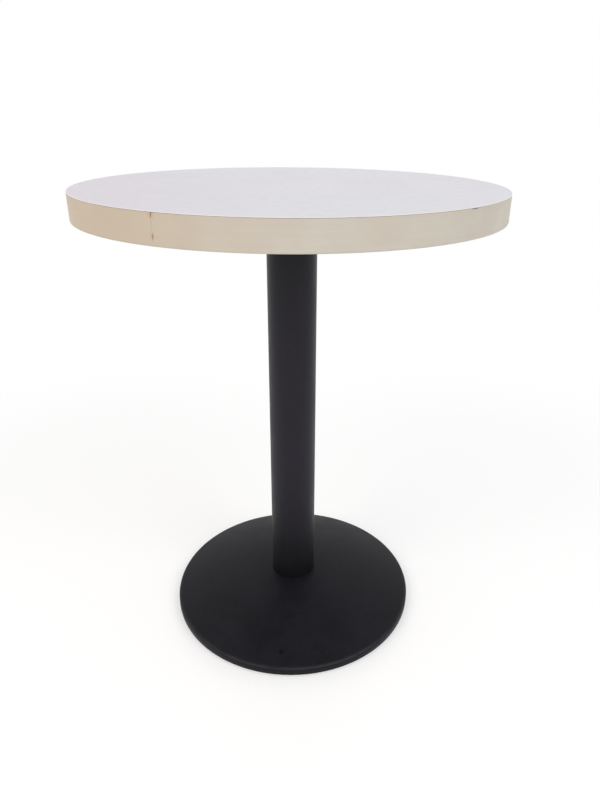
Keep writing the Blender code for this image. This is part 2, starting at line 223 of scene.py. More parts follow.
# Threads: rows of points in a pitch, and the depth of a machine thread as a share of its pitch
THREAD_ROWS = 8
THREAD_DEPTH_SHARE = 0.5

# Countersunk bolts
BOLT_LAND = 0.0006
BOLT_EASE = 0.0003
BOLT_NECK = 0.001
BOLT_CHAMFER = 0.001
BASE_BOLT = {"diameter": 0.012, "pitch": 0.00175, "key": 0.008, "key_depth": 0.0045}
HUB_BOLT = {"diameter": 0.010, "pitch": 0.0015, "key": 0.006, "key_depth": 0.0032}

# Glides. A pad's groove has an inner and an outer radius, and a depth
GLIDE_COUNT = 4
PAD_FLOOR = 0.0012
PAD_EASE = 0.0008
PAD_GROOVE = (0.0082, 0.0098, 0.0003)
PAD_SOCKET_EASE = 0.0003
PAD_SOLE = 0.0004
STUD_DIAMETER = 0.008
STUD_PITCH = 0.00125
STUD_NECK = 0.0002
STUD_CHAMFER = 0.0008
STUD_PIN_DIAMETER = 0.005
STUD_PIN_EASE = 0.0003
STUD_HEX_WIDTH = 0.013
STUD_HEX_HEIGHT = 0.0014
STUD_HEX_CHAMFER = 0.0003
STUD_HEX_FACE = 0.98
STUD_HEX_BLANK = 1.01
STUD_HOLE_ROOF = 0.0016


def srgb(red, green, blue):
    """A colour written in bytes, as the linear colour that shaders take."""
    shares = [byte / 255 for byte in (red, green, blue)]
    return (*[c / 12.92 if c <= 0.04045 else ((c + 0.055) / 1.055) ** 2.4 for c in shares], 1.0)


class Graph:
    """One material's nodes, wired to object coordinates in metres."""

    def __init__(self, name, specular=0.5, metallic=0.0):
        self.material = bpy.data.materials.new(name)
        self.material.use_nodes = True
        self.tree = self.material.node_tree
        self.shader = self.tree.nodes["Principled BSDF"]
        self.shader.inputs["Specular IOR Level"].default_value = specular
        self.shader.inputs["Metallic"].default_value = metallic
        self.place = self.add("ShaderNodeTexCoord").outputs["Object"]

    def add(self, kind, inputs=None, **settings):
        node = self.tree.nodes.new(kind)
        for key, value in settings.items():
            setattr(node, key, value)
        for key, value in (inputs or {}).items():
            self.feed(node.inputs[key], value)
        return node

    def feed(self, socket, value):
        if isinstance(value, bpy.types.NodeSocket):
            self.tree.links.new(value, socket)
        else:
            socket.default_value = value

    def noise(self, size, detail=2.0, turn=0.0):
        """Soft noise with features of a size in metres, or of (x, y, z) sizes turned about Z."""
        sizes = size if isinstance(size, tuple) else (size, size, size)
        place = self.add(
            "ShaderNodeMapping", {"Vector": self.place, "Rotation": (0, 0, turn), "Scale": sizes},
            vector_type="TEXTURE",
        )
        texture = self.add("ShaderNodeTexNoise", {"Vector": place.outputs[0], "Scale": 1.0, "Detail": detail})
        return texture.outputs[0]

    def flakes(self, size):
        """A random value for each cell of a size in metres."""
        cells = self.add("ShaderNodeTexVoronoi", {"Vector": self.place, "Scale": 1 / size})
        return self.add("ShaderNodeSeparateColor", {"Color": cells.outputs["Color"]}).outputs[0]

    def ramp(self, value, low, high, start=0.0, end=1.0):
        """Carries low to high of a value smoothly to start to end, and holds it beyond them."""
        inputs = {"Value": value, "From Min": low, "From Max": high, "To Min": start, "To Max": end}
        return self.add("ShaderNodeMapRange", inputs, interpolation_type="SMOOTHSTEP").outputs[0]

    def span(self, share, start, end):
        """Carries a share of zero to one smoothly to start to end."""
        return self.ramp(share, 0.0, 1.0, start, end)

    def patches(self, size, detail, low, high, turn=0.0):
        """Noise as a share: zero where it is under low, and one where it is over high."""
        return self.ramp(self.noise(size, detail, turn), low, high)

    def math(self, operation, first, second):
        return self.add("ShaderNodeMath", {0: first, 1: second}, operation=operation).outputs[0]

    def mix(self, factor, first, second):
        return self.add("ShaderNodeMix", {0: factor, 6: first, 7: second}, data_type="RGBA").outputs[2]

    def tint(self, colour, where, share, to):
        """Takes a colour a share of the way to another one, as far as a place has it."""
        return self.mix(self.math("MULTIPLY", where, share), colour, srgb(*to))

    def height(self):
        return self.add("ShaderNodeSeparateXYZ", {0: self.place}).outputs[2]

    def radius(self):
        """Distance from the table's axis."""
        flat = self.add("ShaderNodeVectorMath", {0: self.place, 1: (1, 1, 0)}, operation="MULTIPLY")
        return self.add("ShaderNodeVectorMath", {0: flat.outputs[0]}, operation="LENGTH").outputs["Value"]

    def near(self, point, inner, outer):
        """One within inner metres of a point, and zero past outer metres."""
        gap = self.add("ShaderNodeVectorMath", {0: self.place, 1: point}, operation="DISTANCE")
        return self.ramp(gap.outputs["Value"], outer, inner)

    def scratches(self, length, width, turns, low, high):
        """Hairlines in several directions."""
        sizes = (length, width, length)
        lines = [self.patches(sizes, 0.0, low, high, turn) for turn in turns]
        total = lines[0]
        for line in lines[1:]:
            total = self.math("MAXIMUM", total, line)
        return total

    def finish(self, colour, roughness, height=None, depth=0.0, strength=1.0):
        """Joins the shader to its colour, roughness and relief, and returns the material."""
        self.feed(self.shader.inputs["Base Color"], colour)
        self.feed(self.shader.inputs["Roughness"], roughness)
        if height is not None:
            relief = self.add("ShaderNodeBump", {"Height": height, "Distance": depth, "Strength": strength})
            self.feed(self.shader.inputs["Normal"], relief.outputs[0])
        return self.material


def laminate_material():
    """White decor sheet: a pearl texture, a faint cloud in the print, fine wiping marks, and painted light: a
    highlight on the rim, shade at the front, warm light on the left.
    """
    graph = Graph("white_laminate")
    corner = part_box("top_laminate")[1]
    radius, height = corner.x, corner.z
    cloud = graph.patches(size=0.16, detail=3.0, low=0.32, high=0.68)
    fine = graph.patches(size=0.012, detail=2.0, low=0.3, high=0.7)
    front = graph.near((0, -1.4 * radius, height), inner=0.4 * radius, outer=1.6 * radius)
    left = graph.near((-radius, -0.3 * radius, height), inner=0.2 * radius, outer=1.2 * radius)
    rim = graph.ramp(graph.radius(), *[radius - inset for inset in RIM_HIGHLIGHT_INSETS])
    marks = graph.scratches(length=0.09, width=0.0006, turns=(0.3, 1.4, 2.5), low=0.70, high=0.78)
    colour = graph.mix(cloud, srgb(215, 213, 222), srgb(220, 219, 227))
    colour = graph.tint(colour, fine, share=0.25, to=(209, 208, 216))
    # Painted shade: the sheet is darker towards the front
    colour = graph.tint(colour, front, share=0.6, to=(208, 208, 214))
    # Painted warm light: the sheet is pinker and darker on the left
    colour = graph.tint(colour, left, share=0.6, to=(209, 202, 211))
    # Painted highlight: paler along the rim, as if its rounded edge caught the light
    colour = graph.tint(colour, rim, share=0.6, to=(234, 231, 231))
    colour = graph.tint(colour, marks, share=0.09, to=(200, 198, 204))
    roughness = graph.math("ADD", graph.span(fine, 0.36, 0.42), graph.span(marks, 0.0, 0.1))
    pearl = graph.noise(0.0007, detail=1.0)
    return graph.finish(colour, roughness, pearl, depth=0.00003, strength=0.5)


def core_line_material():
    """The brown paper core of the sheet, as its trimmed edge shows it."""
    graph = Graph("sheet_core", specular=0.3)
    layers = graph.patches(size=(0.01, 0.01, 0.00012), detail=1.0, low=0.35, high=0.65)
    spots = graph.patches(size=0.006, detail=2.0, low=0.4, high=0.7)
    colour = graph.mix(layers, srgb(150, 132, 116), srgb(170, 152, 136))
    colour = graph.tint(colour, spots, share=0.5, to=(128, 108, 92))
    return graph.finish(colour, 0.6, layers, depth=0.00004)


def band_material():
    """Beige plastic strip: fine lines along it, a faint mottle, painted warm light on its left part, and
    dirty faults.
    """
    graph = Graph("beige_edge", specular=0.2)
    low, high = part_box("edge_strip")
    lower = on_rim(JOINT_ANGLE, low.z + LOWER_STAIN_RISE)
    upper = on_rim(JOINT_ANGLE, high.z - UPPER_STAIN_DROP)
    lines = graph.patches(size=(0.12, 0.12, 0.0011), detail=2.0, low=0.3, high=0.7)
    mottle = graph.patches(size=0.05, detail=3.0, low=0.3, high=0.7)
    # Painted warm light: the band's left part is tinted warmer
    painted_warm_light = graph.near((0.8 * low.x, 0.6 * low.y, low.z), inner=0.06, outer=0.30)
    lower_stain = graph.near(lower, inner=0.001, outer=0.006)
    upper_stain = graph.near(upper, inner=0.001, outer=0.009)
    stain_cloud = graph.ramp(graph.noise(0.003), low=0.3, high=0.6, start=0.35, end=1.0)
    stain = graph.math("MULTIPLY", graph.math("MAXIMUM", lower_stain, upper_stain), stain_cloud)
    lower_dirt = graph.near(lower, inner=0.0006, outer=0.0030)
    upper_dirt = graph.near(upper, inner=0.0006, outer=0.0045)
    specks = graph.patches(size=0.0016, detail=2.0, low=0.38, high=0.62)
    dirt = graph.math("MULTIPLY", graph.math("MAXIMUM", lower_dirt, upper_dirt), specks)
    chip = graph.near(on_rim(CHIP_ANGLE, high.z), inner=0.0042, outer=0.0066)
    edge = graph.ramp(graph.height(), *[high.z - drop for drop in CHIP_WEAR])
    worn = graph.math("MULTIPLY", chip, edge)
    colour = graph.mix(mottle, srgb(203, 194, 181), srgb(207, 201, 189))
    colour = graph.tint(colour, lines, share=0.3, to=(197, 187, 174))
    colour = graph.tint(colour, painted_warm_light, share=0.65, to=(206, 186, 162))
    colour = graph.tint(colour, stain, share=0.55, to=(206, 174, 142))
    colour = graph.tint(colour, dirt, share=0.4, to=(132, 108, 88))
    colour = graph.tint(colour, worn, share=0.4, to=(130, 118, 110))
    roughness = graph.math("ADD", graph.span(lines, 0.42, 0.50), graph.span(dirt, 0.0, 0.25))
    relief = graph.math("ADD", graph.noise(0.0009, detail=1.0), graph.math("MULTIPLY", lines, 1.5))
    return graph.finish(colour, roughness, relief, depth=0.00003, strength=0.5)


def coat_material(name, colours, specular, dullness, mark=None, wear=None, shade=None):
    """Black powder coat: orange peel, fine grain, pale dust nibs and faint rub marks.

    It may have a dark mark at a point, a painted highlight along an edge between heights, and painted shade
    at its foot.
    """
    graph = Graph(name, specular=specular)
    tone = graph.patches(size=0.045, detail=3.0, low=0.3, high=0.7)
    nibs = graph.patches(size=0.0016, detail=0.0, low=0.76, high=0.82)
    rubs = graph.scratches(length=0.05, width=0.0012, turns=(0.2, 1.3, 2.2), low=0.73, high=0.83)
    colour = graph.mix(tone, srgb(*colours[0]), srgb(*colours[1]))
    colour = graph.tint(colour, nibs, share=0.5, to=(58, 58, 60))
    colour = graph.tint(colour, rubs, share=0.15, to=(46, 45, 47))
    roughness = graph.span(tone, dullness - 0.03, dullness + 0.03)
    roughness = graph.math("ADD", roughness, graph.span(rubs, 0.0, 0.04))
    # Painted shade: the coat is darker towards the foot
    if shade is not None:
        foot = graph.ramp(graph.height(), *shade, start=0.75, end=0.0)
        colour = graph.mix(foot, colour, srgb(8, 8, 9))
    # Painted highlight: a paler, broken line along an edge between two heights
    if wear is not None:
        below, above = [graph.ramp(graph.height(), *heights) for heights in wear]
        broken = graph.ramp(graph.noise(0.02, detail=3.0), low=0.25, high=0.65, start=0.35, end=0.8)
        edge = graph.math("MULTIPLY", graph.math("MULTIPLY", below, above), broken)
        colour = graph.mix(edge, colour, srgb(50, 49, 53))
    if mark is not None:
        spot = graph.near(mark, inner=0.0028, outer=0.0050)
        colour = graph.mix(spot, colour, srgb(9, 9, 10))
        roughness = graph.math("ADD", roughness, graph.span(spot, 0.0, 0.3))
    peel = graph.noise(0.0018, detail=1.0)
    grain = graph.noise(0.0006, detail=1.0)
    relief = graph.math("ADD", peel, graph.math("MULTIPLY", grain, 0.35))
    return graph.finish(colour, roughness, relief, depth=0.00008, strength=0.6)


def zinc_material():
    """Zinc-plated steel: a faint yellow and blue tint, with duller patches."""
    graph = Graph("zinc_steel", metallic=1.0)
    hue = graph.patches(size=0.004, detail=2.0, low=0.3, high=0.7)
    dull = graph.patches(size=0.0012, detail=2.0, low=0.35, high=0.75)
    colour = graph.mix(hue, srgb(196, 196, 198), srgb(201, 196, 182))
    colour = graph.tint(colour, dull, share=0.4, to=(150, 150, 150))
    relief = graph.noise(0.0004, detail=1.0)
    return graph.finish(colour, graph.span(dull, 0.26, 0.44), relief, depth=0.00002, strength=0.5)


def nylon_material():
    """Moulded black nylon: a spark-eroded grain, greyer rubbed patches, and a scuffed sole."""
    graph = Graph("black_nylon", specular=0.35)
    rubbed = graph.patches(size=0.005, detail=3.0, low=0.48, high=0.72)
    sole = graph.ramp(graph.height(), PAD_SOLE, 0.0)
    scuffed = graph.math("MULTIPLY", sole, graph.span(rubbed, 0.55, 1.0))
    colour = graph.mix(rubbed, srgb(30, 30, 32), srgb(58, 57, 56))
    colour = graph.mix(scuffed, colour, srgb(104, 101, 96))
    relief = graph.noise(0.0005)
    return graph.finish(colour, graph.span(rubbed, 0.48, 0.68), relief, depth=0.00006, strength=0.6)


def chipboard_material():
    """Pressed wood chips of several browns."""
    graph = Graph("chipboard", specular=0.2)
    chips = graph.ramp(graph.flakes(0.0032), low=0.1, high=0.9)
    dust = graph.patches(size=0.0011, detail=3.0, low=0.35, high=0.65)
    colour = graph.mix(chips, srgb(142, 110, 76), srgb(188, 158, 118))
    colour = graph.tint(colour, dust, share=0.5, to=(112, 82, 54))
    return graph.finish(colour, 0.9, graph.math("ADD", chips, dust), depth=0.0002)


def backing_material():
    """Plain balancing sheet under the top: matt, with paper mottle and a few fine scratches."""
    graph = Graph("backing_sheet", specular=0.3)
    cloud = graph.patches(size=0.09, detail=3.0, low=0.3, high=0.7)
    fibres = graph.patches(size=(0.004, 0.0009, 1.0), detail=2.0, low=0.3, high=0.7, turn=0.6)
    marks = graph.scratches(length=0.07, width=0.0009, turns=(0.9, 2.1), low=0.71, high=0.79)
    colour = graph.mix(cloud, srgb(134, 122, 106), srgb(144, 132, 115))
    colour = graph.tint(colour, fibres, share=0.35, to=(122, 110, 94))
    colour = graph.tint(colour, marks, share=0.18, to=(102, 91, 77))
    return graph.finish(colour, graph.span(fibres, 0.56, 0.66), fibres, depth=0.00004, strength=0.5)


def turn_angles(count, first=0.0):
    """Even steps round a full turn."""
    return [first + 2 * pi * i / count for i in range(count)]


def arc(centre, radius, first, last, steps):
    """Points on an arc, both ends included."""
    angles = [first + (last - first) * i / steps for i in range(steps + 1)]
    return [(centre[0] + radius * cos(a), centre[1] + radius * sin(a)) for a in angles]


def lower_round(radius, bottom, ease, steps):
    """A rounded lower outer edge, as (radius, height) points from below."""
    return arc((radius - ease, bottom + ease), ease, -pi / 2, 0.0, steps)


def upper_round(radius, top, ease, steps):
    """A rounded upper outer edge, as (radius, height) points from below."""
    return arc((radius - ease, top - ease), ease, 0.0, pi / 2, steps)


def lathe(bm, profile, segments, closed=False, shape=None):
    """Turns (radius, height) points about Z. shape(radius, height, angle) may vary the radius."""
    rings = []
    for radius, height in profile:
        if radius == 0:
            rings.append([bm.verts.new((0, 0, height))] * segments)
            continue
        reach = [(a, shape(radius, height, a) if shape else radius) for a in turn_angles(segments)]
        rings.append([bm.verts.new((r * cos(a), r * sin(a), height)) for a, r in reach])
    pairs = list(zip(rings, rings[1:])) + ([(rings[-1], rings[0])] if closed else [])
    for lower, upper in pairs:
        for i in range(segments):
            j = (i + 1) % segments
            corners = list(dict.fromkeys((lower[i], lower[j], upper[j], upper[i])))
            if len(corners) > 2:
                bm.faces.new(corners)
    return bm


def turned(name, profile, segments, **options):
    """An object turned about Z, with the options of lathe()."""
    return make_object(name, lathe(bmesh.new(), profile, segments, **options))


def smooth(obj):
    """Shades an object smooth between its sharp edges."""
    obj.data.shade_smooth()
    obj.data.set_sharp_from_angle(angle=SHARP_ANGLE)


def make_object(name, bm, closed=True):
    """Links a bmesh to the scene as an object. A closed one gets its faces pointing out."""
    if closed:
        bmesh.ops.recalc_face_normals(bm, faces=bm.faces)
    mesh = bpy.data.meshes.new(name)
    bm.to_mesh(mesh)
    bm.free()
    obj = bpy.data.objects.new(name, mesh)
    bpy.context.scene.collection.objects.link(obj)
    smooth(obj)
    return obj


def repeated(first, stem, count):
    """The first object and its copies, which share its mesh and are named by number."""
    copies = [bpy.data.objects.new(f"{stem}_{number}", first.data) for number in range(2, count + 1)]
    for obj in copies:
        bpy.context.scene.collection.objects.link(obj)
    return [first, *copies]


def combine(obj, other, operation="DIFFERENCE"):
    """Cuts, joins or intersects one object with another for good, and removes the other."""
    modifier = obj.modifiers.new("combine", "BOOLEAN")
    modifier.operation = operation
    modifier.object = other
    modifier.solver = "EXACT"
    graph = bpy.context.evaluated_depsgraph_get()
    mesh = bpy.data.meshes.new_from_object(obj.evaluated_get(graph))
    obj.modifiers.clear()
    obj.data = mesh
    bpy.data.objects.remove(other)
    smooth(obj)


def extruded(outline, bottom, top, spread=1.0):
    """A bmesh plate with an (x, y) outline. Its upper face may be scaled."""
    bm = bmesh.new()
    face = bm.faces.new([bm.verts.new((x, y, bottom)) for x, y in outline])
    made = bmesh.ops.extrude_face_region(bm, geom=[face])
    for vert in (item for item in made["geom"] if isinstance(item, bmesh.types.BMVert)):
        vert.co = (vert.co.x * spread, vert.co.y * spread, top)
    return bm


def eased_plate(name, outline, bottom, top):
    """A plate whose upper and lower edges are rounded."""
    bm = extruded(outline, bottom, top)
    rims = [edge for edge in bm.edges if abs(edge.verts[0].co.z - edge.verts[1].co.z) < SAME_LEVEL]
    bmesh.ops.bevel(bm, geom=rims, offset=SPIDER_EASE, segments=3, profile=0.5, affect="EDGES")
    return make_object(name, bm)


def hole_cutter(radius, bottom, top):
    """A round cutter between two heights."""
    return turned("hole", [(0, bottom), (radius, bottom), (radius, top), (0, top)], SCREW_SEGMENTS)


def four_way(points):
    """Repeats a run of (x, y) points in each quarter turn, to close an outline."""
    turns = [Matrix.Rotation(quarter * pi / 2, 2) for quarter in range(4)]
    return [tuple(turn @ Vector(point)) for turn in turns for point in points]


def hexagon(across_flats):
    """The (x, y) corners of a hexagon."""
    corner = across_flats / 2 / cos(pi / 6)
    return [(corner * cos(a), corner * sin(a)) for a in turn_angles(6)]


def thread(radius, depth, pitch, bottom, top):
    """Rows for lathe() and the shape that winds a right-hand thread between two heights."""
    count = round((top - bottom) / pitch * THREAD_ROWS)
    rows = [(radius, bottom + (top - bottom) * i / count) for i in range(count + 1)]

    def shape(reach, height, angle):
        if not bottom < height < top:
            return reach
        phase = (height / pitch - angle / (2 * pi)) % 1.0
        ridge = 1 - abs(2 * phase - 1)
        fade = min(1.0, (height - bottom) / pitch, (top - height) / pitch)
        return reach - depth * (1 - ridge) * fade

    return rows, shape


def between(points, value):
    """Reads a line of (value, result) points, straight between them and flat past its ends."""
    if value <= points[0][0]:
        return points[0][1]
    for (a, first), (b, last) in zip(points, points[1:]):
        if value <= b:
            return first + (last - first) * (value - a) / (b - a)
    return points[-1][1]


def middle(node):
    """(x, y) of the middle of a node."""
    low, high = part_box(node)
    return (low.x + high.x) / 2, (low.y + high.y) / 2


def on_rim(angle, height):
    """A point on the outer face of the edge band."""
    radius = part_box("edge_strip")[1].x
    return radius * cos(angle), radius * sin(angle), height


def piece(obj, body, slot, *nodes):
    """Says what a new piece rides on, and hides the nodes that it stands for. The slot, its finish, is not
    used.
    """
    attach(obj, body)
    if nodes:
        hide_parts(*nodes)


def paint(obj, *materials):
    """Gives an object's mesh these materials and no others."""
    obj.data.materials.clear()
    for material in materials:
        obj.data.materials.append(material)


def make_top_sheet(white, core):
    """The white sheet, whose core shows as a line below its rounded rim."""
    low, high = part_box("top_laminate")
    radius, ease = high.x, SHEET_LOWER_EASE
    profile = [(0, low.z), (radius - ease, low.z), (radius, low.z + ease), (radius, high.z - DECOR_DEPTH)]
    profile += upper_round(radius, high.z, DECOR_ROUND, steps=5)
    profile += [(ring, high.z) for ring in SHEET_RINGS] + [(0, high.z)]
    sheet = turned("top_sheet", profile, DISC_SEGMENTS)
    paint(sheet, white, core)
    for face in sheet.data.polygons:
        if face.center.z < high.z - DECOR_DEPTH:
            face.material_index = 1
    piece(sheet, "table", "white_laminate", "top_laminate")


def band_angles(radius):
    """Angles of the band's columns from its joint round to its joint, close together at joint and chip."""
    near = [step / radius for step in JOINT_COLUMNS]
    chip = (CHIP_ANGLE - JOINT_ANGLE) % (2 * pi)
    chips = [chip + step / radius for step, _ in CHIP_DEPTHS]
    clear = near[-1] * JOINT_MARGIN
    plain = [a for a in turn_angles(DISC_SEGMENTS) if clear < a < 2 * pi - clear]
    plain = [a for a in plain if not chips[0] - CHIP_MARGIN < a < chips[-1] + CHIP_MARGIN]
    return sorted(near + plain + chips + [2 * pi - a for a in near])


def band_rows(radius, bottom, top):
    """The band's outer face from below, as (radius, height) points, with a row at each chipped height."""
    chipped = [height for height, _, _ in JOINT_CHIPS[1:-1]]
    inset = BAND_EASE * BAND_EASE_MIDDLE
    rows = [(radius - BAND_EASE, bottom), (radius - inset, bottom + inset), (radius, bottom + BAND_EASE)]
    rows += [(radius, bottom + row) for row in sorted((*BAND_PLAIN_ROWS, *chipped))]
    return rows + [(radius, top - BAND_UPPER_EASE), (radius - BAND_UPPER_EASE, top)]


def joint_wear(angle, rise, radius):
    """How far round the chips move the band near its joint, at a height above its lower edge."""
    right_end = angle < pi
    gaps = [(height, right if right_end else left) for height, left, right in JOINT_CHIPS]
    away = min(angle, 2 * pi - angle) * radius
    wear = between(gaps, rise) / radius * max(0.0, 1 - away / JOINT_COLUMNS[-1])
    return wear if right_end else -wear


def make_band(beige):
    """The strip round the edge, as one length whose two ends meet in a chipped joint."""
    low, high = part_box("edge_strip")
    radius, bottom, top = high.x, low.z, high.z + BAND_LIFT
    wall = radius - BAND_WALL
    rows = band_rows(radius, bottom, top)
    bm = bmesh.new()
    columns = []
    for angle in band_angles(radius):
        from_chip = (JOINT_ANGLE + angle - CHIP_ANGLE + pi) % (2 * pi) - pi
        drop = between(CHIP_DEPTHS, from_chip * radius)
        outer, inner = [], []
        for reach, height in rows:
            turn = JOINT_ANGLE + angle + joint_wear(angle, height - bottom, radius)
            level = height - drop * max(0.0, 1 - (top - height) / CHIP_FADE)
            outer.append(bm.verts.new((reach * cos(turn), reach * sin(turn), level)))
            inner.append(bm.verts.new((wall * cos(turn), wall * sin(turn), level)))
        columns.append(outer + inner[::-1])
    count = len(columns[0])
    for first, second in zip(columns, columns[1:]):
        for i in range(count):
            j = (i + 1) % count
            bm.faces.new((first[i], second[i], second[j], first[j]))
    for end in (columns[0], columns[-1]):
        for i in range(len(rows) - 1):
            bm.faces.new((end[i], end[i + 1], end[count - 2 - i], end[count - 1 - i]))
    band = make_object("edge_band", bm)
    paint(band, beige)
    piece(band, "table", "beige_edge", "edge_strip")


def make_column(black):
    """The tube, with eased ends and rings along its length."""
    low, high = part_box("column_tube")
    radius, inner, ease = high.x, high.x - COLUMN_WALL, COLUMN_EASE
    bottom, top = low.z - GAP / 2, high.z
    first, length = bottom + ease, top - bottom - 2 * ease
    section = [(inner, bottom)] + lower_round(radius, bottom, ease, steps=4)
    section += [(radius, first + length * i / COLUMN_RINGS) for i in range(1, COLUMN_RINGS)]
    section += upper_round(radius, top, ease, steps=4) + [(inner, top)]
    column = turned("column", section, COLUMN_SEGMENTS, closed=True)
    paint(column, black)
    piece(column, "table", "black_powder_coat", "column_tube")


def cover_skin(edge):
    """One skin of the cover: a rounded edge of a radius, then a spherical dome in to the column."""
    rim = Vector((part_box("base_cover")[1].x - COVER_EDGE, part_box("base_plate")[1].z - PLATE_EDGE))
    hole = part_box("column_tube")[1].x + GAP
    depth = (rim.x ** 2 - hole ** 2 - COVER_RISE ** 2) / (2 * COVER_RISE)
    lean = pi / 2 - atan2(rim.x, depth)
    reach = hypot(rim.x, depth) + edge
    dome = arc((0, rim.y - depth), reach, lean, pi / 2 - asin(hole / reach), COVER_DOME_STEPS)
    return arc(rim, edge, 0.0, lean, COVER_EDGE_STEPS) + dome[1:]


def make_cover(black):
    """The domed sheet over the plate, with a rounded lower lip."""
    low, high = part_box("base_cover")
    radius, inner = high.x, high.x - COVER_SHEET
    lip = arc((inner + COVER_LIP, low.z + COVER_LIP), COVER_LIP, pi, pi * 1.5, steps=3)
    lip += lower_round(radius, low.z, COVER_LIP, steps=3)
    section = lip + cover_skin(COVER_EDGE) + cover_skin(COVER_EDGE - COVER_SHEET)[::-1]
    cover = turned("domed_cover", section, DISC_SEGMENTS, closed=True)
    paint(cover, black)
    piece(cover, "table", "black_powder_coat", "base_cover")


def make_plate(black):
    """The heavy plate, with the countersunk hole for the bolt and a blind hole over each stud."""
    low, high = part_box("base_plate")
    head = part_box("base_bolt")[1].x + GAP
    shank = BASE_BOLT["diameter"] / 2 + GAP
    seat = low.z + BOLT_LAND + GAP
    section = [(shank, seat + head - shank), (head, seat), (head, low.z)]
    section += [(ring, low.z) for ring in reversed(PLATE_RINGS)]
    section += lower_round(high.x, low.z, PLATE_LOWER_EASE, steps=4)
    section += upper_round(high.x, high.z, PLATE_EDGE, steps=5)
    section += [(ring, high.z) for ring in PLATE_RINGS] + [(shank, high.z)]
    plate = turned("ballast_plate", section, DISC_SEGMENTS, closed=True)
    for number in range(1, GLIDE_COUNT + 1):
        hole = hole_cutter(STUD_DIAMETER / 2 + GAP, low.z - CUT_MARGIN, high.z - STUD_HOLE_ROOF)
        hole.location = (*middle(f"glide_stud_{number}"), 0)
        combine(plate, hole)
    paint(plate, black)
    piece(plate, "table", "black_powder_coat", "base_plate")


def spider_sizes():
    """The lower and upper faces of hub and arms, and half the width of the hub, whose corners are cut."""
    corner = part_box("spider_hub")[1]
    half = (corner.x * sqrt(2) + HUB_CORNER) / 2
    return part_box("spider_arm_1")[0].z, corner.z, half


def collar_radii():
    """The inner and outer radius of the hub's collar, which goes round the column."""
    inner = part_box("column_tube")[1].x + GAP
    return inner, inner + COLLAR_WALL


def make_hub(black):
    """The square plate with its collar round the column, and the countersunk hole for the bolt."""
    bottom, top, half = spider_sizes()
    corner = half - HUB_CORNER
    hub = eased_plate("hub", four_way([(half, -corner), (half, corner)]), bottom, top)
    hub.rotation_euler.z = FIRST_ARM_ANGLE
    inner, outer = collar_radii()
    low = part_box("spider_hub")[0].z
    sunk = bottom + COLLAR_SINK
    section = [(inner, sunk), (inner, low)] + lower_round(outer, low, SPIDER_EASE, steps=3) + [(outer, sunk)]
    combine(hub, turned("collar", section, COLUMN_SEGMENTS, closed=True), "UNION")
    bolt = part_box("hub_bolt")[1]
    wide, shank = bolt.x + GAP, HUB_BOLT["diameter"] / 2 + GAP
    seat = bolt.z - BOLT_LAND - GAP
    room = [(0, bottom - CUT_MARGIN), (shank, bottom - CUT_MARGIN), (shank, seat - wide + shank)]
    room += [(wide, seat), (wide, top + CUT_MARGIN), (0, top + CUT_MARGIN)]
    combine(hub, turned("bolt_room", room, SMALL_SEGMENTS))
    paint(hub, black)
    piece(hub, "table", "black_powder_coat", "spider_hub")


def make_arms(black):
    """The flat bars with round tips, each with holes for its two screws."""
    bottom, top, half = spider_sizes()
    root, wing = half + GAP, ARM_WIDTH / 2
    tip = arc((ARM_REACH - wing, 0), wing, -pi / 2, pi / 2, ARM_TIP_STEPS)
    bar = eased_plate("arm_1", [(root, -wing)] + tip + [(root, wing)], bottom, top)
    for node in ("top_screw_1", "top_screw_2"):
        hole = hole_cutter(SCREW_DIAMETER / 2 + GAP, bottom - CUT_MARGIN, top + CUT_MARGIN)
        hole.location.x = hypot(*middle(node))
        combine(bar, hole)
    paint(bar, black)
    angles = turn_angles(ARM_COUNT, FIRST_ARM_ANGLE)
    for number, (arm, angle) in enumerate(zip(repeated(bar, "arm", ARM_COUNT), angles), 1):
        arm.rotation_euler.z = angle
        piece(arm, "table", "black_powder_coat", f"spider_arm_{number}")


def weld_bead(name, stations, width, closed):
    """A rippled bead along (point, outward direction) stations, tapered at open ends."""
    bm = bmesh.new()
    count = len(stations)
    rings = []
    for i, (point, out) in enumerate(stations):
        after = stations[(i + 1) % count if closed else min(i + 1, count - 1)][0]
        before = stations[i - 1 if closed else max(i - 1, 0)][0]
        side = (after - before).normalized().cross(out)
        swell = 1 + BEAD_SWELL * cos(2 * pi * i / BEAD_RIPPLE_STEPS)
        end = 1.0 if closed else min(1.0, BEAD_END + BEAD_END_GAIN * min(i, count - 1 - i))
        ring = []
        for angle in turn_angles(BEAD_SIDES):
            height = BEAD_HEIGHT if sin(angle) > 0 else BEAD_HEIGHT * BEAD_ROOT
            across = width / 2 * cos(angle) * end
            lift = height * sin(angle) * swell * end
            ring.append(bm.verts.new(point + side * across + out * lift))
        rings.append(ring)
    pairs = list(zip(rings, rings[1:])) + ([(rings[-1], rings[0])] if closed else [])
    for first, second in pairs:
        for i in range(BEAD_SIDES):
            j = (i + 1) % BEAD_SIDES
            bm.faces.new((first[i], first[j], second[j], second[i]))
    if not closed:
        bm.faces.new(rings[0])
        bm.faces.new(rings[-1])
    return make_object(name, bm)


